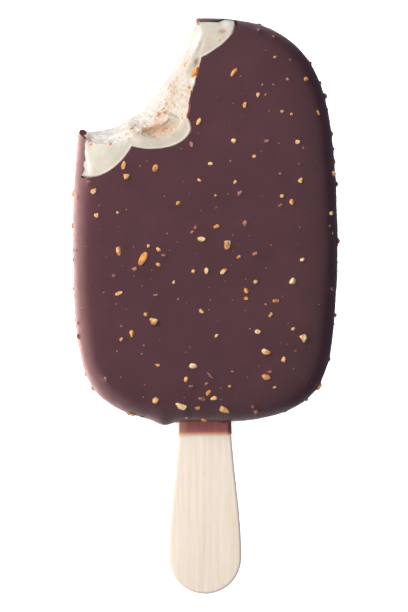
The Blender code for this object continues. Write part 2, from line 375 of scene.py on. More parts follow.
def flat_sheet(name, around, rows):
    """A flat grid to roll up, and the column and row of the roll that each of its points goes to."""
    deselect_all()
    bpy.ops.mesh.primitive_grid_add(x_subdivisions=around, y_subdivisions=rows, size=1)
    sheet = named(name)
    flat = points_of(sheet)
    column = np.rint((flat[:, 0] + 0.5) * around).astype(int) % around
    row = np.rint((flat[:, 1] + 0.5) * rows).astype(int)
    return sheet, column, row


def rolled_bar(name, skin, dome_count, foot_count, span, back_step, front_step):
    """The bar's whole rounded form, from a sheet rolled round its side and closed over both faces."""
    columns = outline_columns(dome_count, foot_count)
    insets, levels = side_section(skin, back_step, front_step)
    sheet, column, row = flat_sheet(name, len(columns[0]), len(levels) - 1)
    x, y = ring((columns[0][column], columns[1][column]), insets[row])
    set_points(sheet, np.column_stack((x, y, levels[row])))
    close_ends(sheet, span)
    return sheet


def oval_share(points, centre, radii, turn=0.0):
    """How far out of an oval each point lies: 0 at its centre and 1 on its edge."""
    turn = math.radians(turn)
    x = points[:, 0] - centre[0] * MM
    y = points[:, 1] - centre[1] * MM
    across = x * math.cos(turn) + y * math.sin(turn)
    along = -x * math.sin(turn) + y * math.cos(turn)
    return np.hypot(across / (radii[0] * MM), along / (radii[1] * MM))


def depth_in_scallops(points):
    """Distance in from the flaked coating's edge, negative outside it."""
    return np.max([(1 - oval_share(points, centre, radii, turn)) * min(radii) * MM
                   for centre, radii, turn in SCALLOPS], axis=0)


def depth_in_teeth(points):
    """Distance in from the tooth cuts' walls, negative outside them."""
    depths = []
    back_share = 1 - (points[:, 2] - bar_low.z) / (2 * HALF_THICKNESS)
    for centre, radii, lean, _ in TOOTH_CUTS:
        moved = points[:, :2] - np.outer(back_share, lean) * MM
        depths.append((1 - oval_share(moved, centre, radii)) * min(radii) * MM)
    return np.max(depths, axis=0)


# ---- Cutters ----

def oval_column(name, centre, radii, turn, low_z, high_z, lean=(0.0, 0.0), levels=1):
    """A column of oval section whose lower end is moved by lean."""
    deselect_all()
    bpy.ops.mesh.primitive_cylinder_add(vertices=144, radius=1, depth=high_z - low_z,
                                        location=(0, 0, (low_z + high_z) / 2))
    column = named(name)
    bpy.ops.object.mode_set(mode="EDIT")
    bpy.ops.mesh.select_all(action="SELECT")
    bpy.ops.transform.resize(value=(radii[0] * MM, radii[1] * MM, 1))
    bpy.ops.object.mode_set(mode="OBJECT")
    column.rotation_euler.z = math.radians(turn)
    column.location.x = centre[0] * MM
    column.location.y = centre[1] * MM
    bpy.ops.object.transform_apply(location=True, rotation=True, scale=True)
    if levels > 1:
        sides = [edge.index for edge in column.data.edges
                 if abs(column.data.vertices[edge.vertices[0]].co.z
                        - column.data.vertices[edge.vertices[1]].co.z) > 0.5 * (high_z - low_z)]
        bpy.ops.object.mode_set(mode="EDIT")
        bpy.ops.mesh.select_mode(type="EDGE")
        bpy.ops.mesh.select_all(action="DESELECT")
        bpy.ops.object.mode_set(mode="OBJECT")
        for index in sides:
            column.data.edges[index].select = True
        bpy.ops.object.mode_set(mode="EDIT")
        bpy.ops.mesh.subdivide(number_cuts=levels - 1)
        bpy.ops.object.mode_set(mode="OBJECT")
    points = points_of(column)
    back_share = (bar_high.z - points[:, 2]) / (2 * HALF_THICKNESS)
    points[:, 0] += lean[0] * MM * back_share
    points[:, 1] += lean[1] * MM * back_share
    set_points(column, points)
    return column


def ragged(cutter, size, depth, seed):
    """Shakes a cutter's wall sideways, so that what it cuts breaks unevenly."""
    points = points_of(cutter)
    points[:, 0] += depth * fractal(points, size, seed)
    points[:, 1] += depth * fractal(points, size, seed + 1)
    set_points(cutter, points)


def tooth_cutter(name, rough):
    """All the tooth cuts as one solid. The rough one cuts the coating, raggedly and more upright."""
    overrun = 3 * MM
    whole = None
    for i, (centre, radii, lean, coating_share) in enumerate(TOOTH_CUTS):
        lean_share = coating_share if rough else 1.0
        column = oval_column(f"{name}_{i}", centre, radii, 0.0, bar_low.z - overrun, bar_high.z + overrun,
                             (lean_share * lean[0], lean_share * lean[1]), levels=16)
        if rough:
            points = points_of(column)
            points[:, 1] += LEFT_WALL_RISE * smooth_step(-points[:, 0], 27.2 * MM, 28.4 * MM)
            set_points(column, points)
            ragged(column, 1.6 * MM, 0.22 * MM, 10 + 3 * i)
        if whole is None:
            whole = column
        else:
            cut_with(whole, column, "UNION")
    return whole


def rim_width(across, along):
    """Width of the rim at unit positions on the outline, thinner along the top."""
    at_top = smooth_step(along, 0.45, 0.8)
    top = RIM_TOP + (RIM_TOP_THIN - RIM_TOP) * smooth_step(across * HALF_WIDTH, 3.0 * MM, 5.5 * MM)
    return RIM_LEFT + (top - RIM_LEFT) * at_top


def surface_rise(inset):
    """Height of the bar's surface above its middle, at an inset from its outline."""
    across = np.clip(1 - inset / SIDE_REACH, 0.0, 1.0)
    return HALF_THICKNESS * (1 - across ** SIDE_POWERS[0]) ** (1 / SIDE_POWERS[1])


def rim_inset(across, along, z):
    """Inset of the rim's inner face, which meets the bar's surface at the rim's width and slants in below."""
    fall = (1 - RIM_LEFT / SIDE_REACH) ** SIDE_POWERS[0]
    meets_z = MIDDLE_Z + HALF_THICKNESS * (1 - fall) ** (1 / SIDE_POWERS[1])
    return rim_width(across, along) + RIM_SLANT * (meets_z - z)


def rim_limit():
    """The bar's outline as an upright form that slants in downwards, inside the rim left standing."""
    columns = outline_columns(DOME_COLUMNS, FOOT_COLUMNS)
    levels = np.linspace(SCALLOP_FLOOR_Z, bar_high.z + 3 * MM, 15)
    limit, column, row = flat_sheet("rim_limit", len(columns[0]), len(levels) - 1)
    across, along = columns[0][column], columns[1][column]
    x, y = ring((across, along), rim_inset(across, along, levels[row]))
    set_points(limit, np.column_stack((x, y, levels[row])))
    close_ends(limit, 100)
    ragged(limit, 2.6 * MM, 0.55 * MM, 4)
    return limit


def scallop_cutter():
    """The flaked-away front coating as one solid, kept clear of the rim."""
    whole = None
    for i, (centre, radii, turn) in enumerate(SCALLOPS):
        column = oval_column(f"scallop_{i}", centre, radii, turn, SCALLOP_FLOOR_Z - 2 * MM,
                             bar_high.z + 5 * MM, levels=12)
        if i == CRUMBLED_SCALLOP:
            ragged(column, 1.1 * MM, 0.4 * MM, 40)
        else:
            ragged(column, 2.2 * MM, 0.12 * MM, 41 + 3 * i)
        if whole is None:
            whole = column
        else:
            cut_with(whole, column, "UNION")
    cut_with(whole, rim_limit(), "INTERSECT")
    return whole


# ---- Materials ----

def linear(hex_colour):
    """An sRGB colour such as "#5b3d42" as linear red, green, blue and alpha."""
    parts = [int(hex_colour[i:i + 2], 16) / 255 for i in (1, 3, 5)]
    return (*[part / 12.92 if part <= 0.04045 else ((part + 0.055) / 1.055) ** 2.4 for part in parts], 1.0)


def new_material(name):
    material = bpy.data.materials.new(name)
    material.use_nodes = True
    return material, material.node_tree, material.node_tree.nodes["Principled BSDF"]


def add_node(tree, kind, inputs=None, **settings):
    """Adds a node, sets it up, and gives each input a value or a link from another node's output."""
    node = tree.nodes.new(kind)
    for name, value in settings.items():
        setattr(node, name, value)
    set_inputs(tree, node, inputs or {})
    return node


def set_inputs(tree, node, inputs):
    for key, value in inputs.items():
        if isinstance(value, bpy.types.NodeSocket):
            tree.links.new(value, node.inputs[key])
        else:
            node.inputs[key].default_value = value


def chocolate_material(name, colour, roughness, specular, sheen):
    """Milk chocolate couverture, faintly mottled, with soft ripples from running off.

    The sheen is the frost on the dipped coat, which pales its edges. Broken chocolate has none and is matt.
    """
    material, tree, shader = new_material(name)
    place = add_node(tree, "ShaderNodeTexCoord").outputs["Object"]
    mottle = add_node(tree, "ShaderNodeTexNoise", {"Vector": place, "Scale": 1 / (9 * MM), "Detail": 4.0})
    grain = add_node(tree, "ShaderNodeTexNoise", {"Vector": place, "Scale": 1 / (0.9 * MM), "Detail": 3.0})
    tone = add_node(tree, "ShaderNodeMapRange", {"Value": mottle.outputs["Fac"], "From Min": 0.3,
                                                 "From Max": 0.7, "To Min": 0.91, "To Max": 1.10})
    tinted = add_node(tree, "ShaderNodeHueSaturation", {"Color": colour, "Value": tone.outputs["Result"]})
    gloss = add_node(tree, "ShaderNodeMapRange", {"Value": grain.outputs["Fac"], "From Min": 0.3,
                                                  "From Max": 0.7, "To Min": roughness - 0.05,
                                                  "To Max": roughness + 0.06})
    ripple = add_node(tree, "ShaderNodeTexNoise", {"Vector": place, "Scale": 1 / (3.5 * MM), "Detail": 2.0})
    soft = add_node(tree, "ShaderNodeBump", {"Height": ripple.outputs["Fac"], "Strength": 0.25,
                                             "Distance": 0.25 * MM})
    fine = add_node(tree, "ShaderNodeBump", {"Height": grain.outputs["Fac"], "Strength": 0.18,
                                             "Distance": 0.1 * MM, "Normal": soft.outputs["Normal"]})
    set_inputs(tree, shader, {"Base Color": tinted.outputs["Color"], "Roughness": gloss.outputs["Result"],
                              "Specular IOR Level": specular, "IOR": 1.46, "Normal": fine.outputs["Normal"],
                              "Sheen Weight": sheen, "Sheen Roughness": 0.3,
                              "Sheen Tint": linear("#ffd6cc")})
    return material


def ice_cream_material():
    """Churned ice cream: matt and creamy, smooth where peeled, warm and specked with nut where torn, with
    painted shade in its dents and painted light where it is paled.
    """
    material, tree, shader = new_material("churned_almond_ice_cream")
    place = add_node(tree, "ShaderNodeTexCoord").outputs["Object"]
    torn, hollow, specked, pale = (add_node(tree, "ShaderNodeAttribute", attribute_name=mark).outputs["Fac"]
                                   for mark in ("torn", "hollow", "specked", "pale"))
    base = add_node(tree, "ShaderNodeMix", {0: torn, 6: linear("#cec7b7"), 7: linear("#d8d2c6")},
                    data_type="RGBA")
    cloud = add_node(tree, "ShaderNodeTexNoise", {"Vector": place, "Scale": 1 / (2.4 * MM), "Detail": 4.0})
    shade = add_node(tree, "ShaderNodeMapRange", {"Value": cloud.outputs["Fac"], "From Min": 0.3,
                                                  "From Max": 0.7, "To Min": 0.93, "To Max": 1.05})
    warmth = add_node(tree, "ShaderNodeMath", {0: specked, 1: 0.5}, operation="MULTIPLY")
    warmed = add_node(tree, "ShaderNodeMix", {0: warmth.outputs[0], 6: base.outputs[2],
                                              7: linear("#b5a48e")}, data_type="RGBA")
    # Painted light: lightens the ice cream towards white where the pale mark says.
    painted_lit = add_node(tree, "ShaderNodeMix", {0: pale, 6: warmed.outputs[2], 7: linear("#f1f0ee")},
                     data_type="RGBA")
    clouded = add_node(tree, "ShaderNodeHueSaturation", {"Color": painted_lit.outputs[2],
                                                         "Value": shade.outputs["Result"]})
    # Ground nut, as specks of two sizes, thickest where the attribute says.
    fine = add_node(tree, "ShaderNodeTexNoise", {"Vector": place, "Scale": 1 / (0.8 * MM), "Detail": 2.0,
                                                 "Roughness": 0.6})
    coarse = add_node(tree, "ShaderNodeTexNoise", {"Vector": place, "Scale": 1 / (1.5 * MM), "Detail": 3.0,
                                                   "Roughness": 0.6})
    both = add_node(tree, "ShaderNodeMath", {0: fine.outputs["Fac"], 1: coarse.outputs["Fac"]},
                    operation="ADD")
    speck = add_node(tree, "ShaderNodeMapRange", {"Value": both.outputs[0], "From Min": 1.02,
                                                  "From Max": 1.22, "To Min": 0.0, "To Max": 1.0})
    speck_share = add_node(tree, "ShaderNodeMath", {0: speck.outputs["Result"], 1: specked},
                           operation="MULTIPLY")
    speckled = add_node(tree, "ShaderNodeMix", {0: speck_share.outputs[0], 6: clouded.outputs["Color"],
                                                7: linear("#b98d5a")}, data_type="RGBA")
    # Painted shade: the hollow mark darkens dents and creases to a warm tan.
    shaded_hollows = add_node(tree, "ShaderNodeMix", {0: hollow, 6: speckled.outputs[2], 7: linear("#c0895c")},
                      data_type="RGBA")
    grit = add_node(tree, "ShaderNodeTexNoise", {"Vector": place, "Scale": 1 / (0.45 * MM), "Detail": 4.0,
                                                 "Roughness": 0.65})
    creases = add_node(tree, "ShaderNodeBump", {"Height": coarse.outputs["Fac"], "Strength": 0.3,
                                                "Distance": 0.3 * MM})
    rough = add_node(tree, "ShaderNodeBump", {"Height": grit.outputs["Fac"], "Strength": 0.4,
                                              "Distance": 0.25 * MM, "Normal": creases.outputs["Normal"]})
    set_inputs(tree, shader, {"Base Color": shaded_hollows.outputs[2], "Roughness": 0.6, "IOR": 1.35,
                              "Specular IOR Level": 0.35, "Normal": rough.outputs["Normal"],
                              "Subsurface Weight": 0.2, "Subsurface Radius": (1.0, 0.8, 0.6),
                              "Subsurface Scale": 0.8 * MM})
    return material


def birch_material():
    """Birch veneer, sanded but bare: pale, matt, with fine straight grain and short dark pores along it."""
    material, tree, shader = new_material("sanded_birch")
    place = add_node(tree, "ShaderNodeTexCoord").outputs["Object"]
    along = add_node(tree, "ShaderNodeMapping", {"Vector": place, "Scale": (1.0, 0.045, 1.0)})
    grain = add_node(tree, "ShaderNodeTexNoise", {"Vector": along.outputs["Vector"], "Scale": 1 / (0.9 * MM),
                                                  "Detail": 4.0, "Roughness": 0.6})
    broad = add_node(tree, "ShaderNodeTexNoise", {"Vector": along.outputs["Vector"], "Scale": 1 / (5 * MM),
                                                  "Detail": 2.0})
    colour = add_node(tree, "ShaderNodeMix", {0: grain.outputs["Fac"], 6: linear("#e5ccb1"),
                                              7: linear("#fff8ec")}, data_type="RGBA")
    tone = add_node(tree, "ShaderNodeMapRange", {"Value": broad.outputs["Fac"], "From Min": 0.3,
                                                 "From Max": 0.7, "To Min": 0.96, "To Max": 1.03})
    toned = add_node(tree, "ShaderNodeHueSaturation", {"Color": colour.outputs[2],
                                                       "Value": tone.outputs["Result"]})
    short = add_node(tree, "ShaderNodeMapping", {"Vector": place, "Scale": (1.0, 0.12, 1.0)})
    pores = add_node(tree, "ShaderNodeTexNoise", {"Vector": short.outputs["Vector"],
                                                  "Scale": 1 / (0.35 * MM), "Detail": 1.0})
    pore_share = add_node(tree, "ShaderNodeMapRange", {"Value": pores.outputs["Fac"], "From Min": 0.66,
                                                       "From Max": 0.76, "To Min": 0.0, "To Max": 0.12})
    pored = add_node(tree, "ShaderNodeMix", {0: pore_share.outputs["Result"], 6: toned.outputs["Color"],
                                             7: linear("#b9976f")}, data_type="RGBA")
    bump = add_node(tree, "ShaderNodeBump", {"Height": grain.outputs["Fac"], "Strength": 0.2,
                                             "Distance": 0.1 * MM})
    set_inputs(tree, shader, {"Base Color": pored.outputs[2], "Roughness": 0.62, "IOR": 1.5,
                              "Specular IOR Level": 0.3, "Normal": bump.outputs["Normal"]})
    return material


def film_material():
    """A film of chocolate left on the stick: thin enough for the wood to warm it, palest at its lower edge.

    Its right edge is darker, as painted shade, and its left edge paler, as painted light; both of its colours
    are painted lighter against the bar's shadow over it.
    """
    material, tree, shader = new_material("chocolate_film_on_wood")
    place = add_node(tree, "ShaderNodeTexCoord").outputs["Object"]
    thin = add_node(tree, "ShaderNodeAttribute", attribute_name="thin").outputs["Fac"]
    along = add_node(tree, "ShaderNodeMapping", {"Vector": place, "Scale": (1.0, 0.1, 1.0)})
    streaks = add_node(tree, "ShaderNodeTexNoise", {"Vector": along.outputs["Vector"],
                                                    "Scale": 1 / (0.8 * MM), "Detail": 3.0})
    tone = add_node(tree, "ShaderNodeMapRange", {"Value": streaks.outputs["Fac"], "From Min": 0.3,
                                                 "From Max": 0.7, "To Min": 0.9, "To Max": 1.1})
    # Painted light: both colours are lighter than the film's own, against the bar's shadow over it, and the
    # mark also pales the lit left edge; the thin lower edge is truly paler.
    colour = add_node(tree, "ShaderNodeMix", {0: thin, 6: linear("#be6f6d"), 7: linear("#ffd0a8")},
                      data_type="RGBA")
    right_edge_shade = add_node(tree, "ShaderNodeAttribute", attribute_name="right_edge_shade").outputs["Fac"]
    # Painted shade: the film's right edge, where the stick turns away from the light, is darkened.
    deep = add_node(tree, "ShaderNodeMix", {0: right_edge_shade, 6: colour.outputs[2], 7: linear("#6a3434")},
                    data_type="RGBA")
    toned = add_node(tree, "ShaderNodeHueSaturation", {"Color": deep.outputs[2],
                                                       "Value": tone.outputs["Result"]})
    bump = add_node(tree, "ShaderNodeBump", {"Height": streaks.outputs["Fac"], "Strength": 0.2,
                                             "Distance": 0.1 * MM})
    set_inputs(tree, shader, {"Base Color": toned.outputs["Color"], "Roughness": 0.4, "IOR": 1.46,
                              "Specular IOR Level": 0.4, "Normal": bump.outputs["Normal"]})
    return material


def almond_material():
    """Roasted almond, chopped: pale dry flesh, golden where roasted, brown where the chocolate wets it, and
    brown as painted shade up its lower right side.
    """
    material, tree, shader = new_material("roasted_almond")
    place = add_node(tree, "ShaderNodeTexCoord").outputs["Object"]
    tone = add_node(tree, "ShaderNodeAttribute", attribute_name="tone").outputs["Fac"]
    patches = add_node(tree, "ShaderNodeTexNoise", {"Vector": place, "Scale": 1 / (1.3 * MM), "Detail": 3.0,
                                                    "Roughness": 0.6})
    patch_share = add_node(tree, "ShaderNodeMapRange", {"Value": patches.outputs["Fac"], "From Min": 0.42,
                                                        "From Max": 0.62, "To Min": 0.0, "To Max": 0.8})
    wet_and_shaded = add_node(tree, "ShaderNodeAttribute", attribute_name="wet_and_shaded").outputs["Fac"]
    own = add_node(tree, "ShaderNodeMix", {0: tone, 6: linear("#ffe2b0"), 7: linear("#e6a055")},
                   data_type="RGBA")
    roasted = add_node(tree, "ShaderNodeMix", {0: patch_share.outputs["Result"], 6: own.outputs[2],
                                               7: linear("#c67832")}, data_type="RGBA")
    # Brown where the chocolate wets each piece's foot, and brown as painted shade up its lower right side.
    smeared_and_shaded = add_node(tree, "ShaderNodeMix", {0: wet_and_shaded, 6: roasted.outputs[2], 7: linear("#7a4230")},
                       data_type="RGBA")
    grit = add_node(tree, "ShaderNodeTexNoise", {"Vector": place, "Scale": 1 / (0.3 * MM), "Detail": 3.0})
    rough = add_node(tree, "ShaderNodeBump", {"Height": grit.outputs["Fac"], "Strength": 0.3,
                                              "Distance": 0.12 * MM})
    set_inputs(tree, shader, {"Base Color": smeared_and_shaded.outputs[2], "Roughness": 0.5, "IOR": 1.47,
                              "Specular IOR Level": 0.4, "Normal": rough.outputs["Normal"],
                              "Subsurface Weight": 0.15, "Subsurface Radius": (1.0, 0.6, 0.3),
                              "Subsurface Scale": 0.4 * MM})
    return material


def glazed_almond_material():
    """Almond under a thin run of chocolate: pinkish brown and glossy, with bare nut where it wore through."""
    material, tree, shader = new_material("chocolate_glazed_almond")
    place = add_node(tree, "ShaderNodeTexCoord").outputs["Object"]
    tone = add_node(tree, "ShaderNodeAttribute", attribute_name="tone").outputs["Fac"]
    patches = add_node(tree, "ShaderNodeTexNoise", {"Vector": place, "Scale": 1 / (0.9 * MM), "Detail": 3.0})
    shown = add_node(tree, "ShaderNodeMapRange", {"Value": patches.outputs["Fac"], "From Min": 0.5,
                                                  "From Max": 0.66, "To Min": 0.0, "To Max": 0.8})
    wet_and_shaded = add_node(tree, "ShaderNodeAttribute", attribute_name="wet_and_shaded").outputs["Fac"]
    own = add_node(tree, "ShaderNodeMix", {0: tone, 6: linear("#b3735f"), 7: linear("#7c4c48")},
                   data_type="RGBA")
    worn = add_node(tree, "ShaderNodeMix", {0: shown.outputs["Result"], 6: own.outputs[2],
                                            7: linear("#d59c7a")}, data_type="RGBA")
    # Dark where the chocolate wets each piece's foot, and dark as painted shade up its lower right side.
    colour = add_node(tree, "ShaderNodeMix", {0: wet_and_shaded, 6: worn.outputs[2], 7: linear("#55312f")},
                      data_type="RGBA")
    set_inputs(tree, shader, {"Base Color": colour.outputs[2], "Roughness": 0.38, "IOR": 1.46,
                              "Specular IOR Level": 0.45})
    return material


def crumb_material():
    """Almond crumbs, from bare and tan to dark under the dipped chocolate, all with a little shine."""
    material, tree, shader = new_material("dipped_almond_dust")
    place = add_node(tree, "ShaderNodeTexCoord").outputs["Object"]
    tone = add_node(tree, "ShaderNodeAttribute", attribute_name="tone").outputs["Fac"]
    patches = add_node(tree, "ShaderNodeTexNoise", {"Vector": place, "Scale": 1 / (0.5 * MM), "Detail": 2.0})
    shade = add_node(tree, "ShaderNodeMapRange", {"Value": patches.outputs["Fac"], "From Min": 0.3,
                                                  "From Max": 0.7, "To Min": 0.8, "To Max": 1.2})
    own = add_node(tree, "ShaderNodeMix", {0: tone, 6: linear("#b5795a"), 7: linear("#59363a")},
                   data_type="RGBA")
    toned = add_node(tree, "ShaderNodeHueSaturation", {"Color": own.outputs[2],
                                                       "Value": shade.outputs["Result"]})
    set_inputs(tree, shader, {"Base Color": toned.outputs["Color"], "Roughness": 0.35, "IOR": 1.46,
                              "Specular IOR Level": 0.5})
    return material


def backdrop_material():
    """Matt white card with a faint tooth."""
    material, tree, shader = new_material("matt_white_card")
    place = add_node(tree, "ShaderNodeTexCoord").outputs["Object"]
    tooth = add_node(tree, "ShaderNodeTexNoise", {"Vector": place, "Scale": 1 / (3 * MM)})
    bump = add_node(tree, "ShaderNodeBump", {"Height": tooth.outputs["Fac"], "Strength": 0.05,
                                             "Distance": 0.1 * MM})
    set_inputs(tree, shader, {"Base Color": linear("#f6f6f5"), "Roughness": 0.9, "Specular IOR Level": 0.0,
                              "Normal": bump.outputs["Normal"]})
    return material


# ---- Where the almond pieces sit ----

def front_sites(skin, table):
    """(place, normal, length, width, turn) of each tabled piece, on the bare skin."""
    sites = []
    for x, y, length, width, turn in table:
        above = Vector((x * MM, y * MM, bar_high.z + 10 * MM))
        hit, place, normal, _ = skin.ray_cast(above, Vector((0, 0, -1)))
        if hit:
            sites.append((place.copy(), normal.copy(), length * MM, width * MM, math.radians(turn)))
    return sites


def is_bitten(place, margin):
    point = np.array([place])
    if depth_in_teeth(point)[0] > -margin:
        return True
    return place.z > SCALLOP_FLOOR_Z and depth_in_scallops(point)[0] > -margin


def scattered_sites(skin, count, sizes, spacing, taken, rng, faces):
    """Sites at random faces of the skin, clear of the bite and of what is already there."""
    mesh = skin.data
    areas = np.array([mesh.polygons[i].area for i in faces])
    order = rng.choice(faces, size=count * 4, p=areas / areas.sum())
    sites = []
    for index in order:
        if len(sites) == count:
            break
        face = mesh.polygons[int(index)]
        place = face.center.copy()
        if is_bitten(place, 0.8 * MM):
            continue
        if any((place - other[0]).length < spacing for other in taken + sites):
            continue
        length = sizes[0] + (sizes[1] - sizes[0]) * rng.random() ** 2
        width = length * rng.uniform(0.6, 0.95)
        sites.append((place, face.normal.copy(), length, width, rng.uniform(0, math.pi)))
    return sites


# ---- The torn ice cream ----

def inset_of(points):
    """How far each point lies in from the bar's outline, seen from the front."""
    low = np.zeros(len(points))
    high = np.full(len(points), HALF_WIDTH - 0.1 * MM)
    above = points[:, 1] > WIDEST_Y
    height = np.where(above, DOME_HEIGHT, FOOT_HEIGHT)
    power_across = np.where(above, DOME_FORM[0], FOOT_FORM[0])
    power_along = np.where(above, DOME_FORM[1], FOOT_FORM[1])
    narrowing = np.where(above, DOME_FORM[2], FOOT_FORM[2])
    for _ in range(30):
        inset = (low + high) / 2
        along = np.abs(points[:, 1] - WIDEST_Y) / (height - inset)
        width = (HALF_WIDTH - inset) * (1 - narrowing * np.minimum(along, 1.0) ** 2)
        inside = (np.abs(points[:, 0]) / width) ** power_across + along ** power_along < 1
        low = np.where(inside, inset, low)
        high = np.where(inside, high, inset)
    return low


def skin_depth(points):
    """How far each point lies below the ice cream's uncut surface, measured up or down."""
    across = np.clip(1 - (inset_of(points) - CREAM_SKIN) / SIDE_REACH, 0.0, 1.0)
    rise = np.clip(1 - across ** SIDE_POWERS[0], 0.0, 1.0) ** (1 / SIDE_POWERS[1])
    return (HALF_THICKNESS - CREAM_SKIN) * rise - np.abs(points[:, 2] - MIDDLE_Z)


def soft_spots(points, spots):
    """The strongest of several oval spots at each point, seen from the front, falling softly outwards."""
    return np.max([strength * np.exp(-oval_share(points, centre, radii, turn) ** 2 * 1.2)
                   for centre, radii, turn, strength in spots], axis=0)


def bowl_height(points):
    """Height of the bowl's floor and ridge, dropping steeply outside the ridge."""
    share = oval_share(points, *BOWL)
    floor = BOWL_RIDGE_Z - BOWL_DEPTH * (1 - np.minimum(share / BOWL_RIDGE_SHARES[0], 1.0) ** 2)
    return floor - 30 * MM * np.maximum(share - BOWL_RIDGE_SHARES[1], 0.0) ** 1.3


def fill_to_rim(moved, points, edge, torn):
    """Swells the ice cream out and up to the rim that stands round the scallops."""
    peeled = (edge > 0.0) & (points[:, 2] > SCALLOP_FLOOR_Z)
    x, y, z = moved[peeled].T
    inset = inset_of(moved[peeled])
    free = smooth_step(edge[peeled], 0.0, 0.4 * MM) * smooth_step(z, 12.2 * MM, 13.4 * MM)
    along = (y - WIDEST_Y) / DOME_HEIGHT
    across = x / HALF_WIDTH / (1 - DOME_FORM[2] * np.minimum(along, 1.0) ** 2)
    rim = rim_inset(across, along, z)
    near = free * np.exp(-(np.maximum(inset - CREAM_SKIN, 0.0) / (1.6 * MM)) ** 2)
    new_inset = inset - near * np.maximum(CREAM_SKIN - rim + 0.08 * MM, 0.0)
    height = np.where(y > WIDEST_Y, DOME_HEIGHT, FOOT_HEIGHT)
    moved[peeled, 0] = x * (HALF_WIDTH - new_inset) / (HALF_WIDTH - inset)
    moved[peeled, 1] = WIDEST_Y + (y - WIDEST_Y) * (height - new_inset) / (height - inset)
    # Behind the rim's inner face it stays well under the coating.
    full_z = MIDDLE_Z + surface_rise(new_inset) - 0.2 * MM - 1.5 * np.maximum(rim - new_inset, 0.0)
    lift = free * np.exp(-np.maximum(new_inset - rim, 0.0) / (2.4 * MM)) * (1 - torn[peeled])
    moved[peeled, 2] = z + lift * np.maximum(full_z - z, 0.0)


def tear(cream):
    """Tears and crumbles the bitten wall, and marks how torn and specked each point is, where its dents get
    painted shade, and where it gets painted light.
    """
    points = points_of(cream)
    normals = normals_of(cream)
    in_wall = depth_in_teeth(points) > -0.8 * MM
    torn = np.zeros(len(points))
    torn[in_wall] = smooth_step(skin_depth(points[in_wall]), 0.1 * MM, 0.9 * MM)
    near = torn > 0.01
    moved = points.copy()
    seen = smooth_step(points[:, 2], 8 * MM, 13 * MM)
    rise = np.maximum(bowl_height(points) - points[:, 2], 0.0)
    moved[near, 2] += (rise * smooth_step(points[:, 2], 10 * MM, 14 * MM))[near]
    spots = points[near]
    lumps = fractal(spots, 3.2 * MM, 5, 3)
    crumbs = fractal(spots, 1.1 * MM, 6, 3)
    grit = fractal(spots, 0.5 * MM, 7, 2)
    push = np.zeros(len(points))
    push[near] = torn[near] * MM * (0.45 * lumps + 0.45 * crumbs + 0.2 * grit)
    push *= 0.4 + 0.6 * smooth_step(points[:, 0], -21 * MM, -12 * MM)
    moved += normals * push[:, None]
    moved[:, 2] += MM * seen * (soft_spots(points, RAISED_SPOTS) - soft_spots(points, DENTED_SPOTS))
    # A lip of ice cream stays up against the broken coating's edge.
    edge = depth_in_scallops(points)
    front = smooth_step(points[:, 2], 14 * MM, 17 * MM) * (1 - torn)
    lip = np.exp(-((edge - 0.22 * MM) / (0.13 * MM)) ** 2) * front
    moved[:, 2] += 0.25 * MM * lip
    fill_to_rim(moved, points, edge, torn)
    set_points(cream, moved)
    # Painted light: a painted highlight along the lip. The torn wall is also paler low down towards the back.
    deep = 0.35 * torn * smooth_step(-points[:, 2], -12 * MM, -7 * MM)
    mark_points(cream, {
        "torn": torn,
        "hollow": soft_spots(points, HOLLOW_SHADE_SPOTS) * seen,
        "specked": np.maximum(soft_spots(points, SPECKED_SPOTS), 0.12 * torn),
        "pale": np.maximum.reduce([soft_spots(points, PAINTED_LIGHT_SPOTS) * seen, 0.45 * lip, deep]),
    })


# ---- Pieces ----

def raise_mounds(skin, sites, share, spread):
    """Lifts the chocolate that clings round each almond piece."""
    points = points_of(skin)
    lift = np.zeros_like(points)
    for place, normal, length, width, _ in sites:
        near = np.linalg.norm(points - np.array(place), axis=1)
        radius = (length + width) / 4 + spread
        close = near < 3 * radius
        height = share * width * np.exp(-(near[close] / radius) ** 2)
        lift[close] = np.maximum(np.abs(lift[close]), height[:, None]) * np.array(normal)
    set_points(skin, points + lift)


def run_off(skin):
    """The dipped coat's slow waves, and the drip that set at the foot."""
    points = points_of(skin)
    normals = normals_of(skin)
    side = 1 - np.abs(normals[:, 2]) ** 2
    wave = 0.10 * MM * fractal(points, 13 * MM, 1, 2) + side * 0.10 * MM * fractal(points, 4 * MM, 2, 2)
    # The flat middle of the back stays flat, because the bar rests on it.
    wave *= smooth_step(points[:, 2], 0.5 * MM, 3 * MM)
    points += normals * np.minimum(wave, 0.12 * MM)[:, None]
    # The back's middle stands on its almonds, a little clear of the table.
    points[:, 2] = np.maximum(points[:, 2], bar_low.z + 0.25 * MM * smooth_step(-normals[:, 2], 0.5, 1.0))
    drip = np.exp(-((points[:, 0] + 9.6 * MM) / (2.4 * MM)) ** 2 - ((points[:, 2] - 14 * MM) / (5 * MM)) ** 2)
    foot = smooth_step(-points[:, 1], -(bar_low.y + 6 * MM), -(bar_low.y + 1 * MM))
    points[:, 1] -= 1.15 * MM * drip * foot
    set_points(skin, points)


def make_coating(skin, chocolate, broken):
    """The milk chocolate shell, hollow for the ice cream, bitten through and flaked away at the front."""
    clothe(skin, chocolate)
    cutters = (
        rolled_bar("hollow", COATING, 60, 44, 40, 1.5 * MM, 1.2 * MM),
        tooth_cutter("coating_tooth", True),
        scallop_cutter(),
        stick_form("slot", 0.03 * MM, 3 * MM),
    )
    for cutter in cutters:
        clothe(cutter, broken)
        cut_with(skin, cutter)
    take_up(skin)
    bpy.ops.object.shade_smooth_by_angle(angle=math.radians(38))
    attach(skin, BODY)
    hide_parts("chocolate_coating")
    return skin


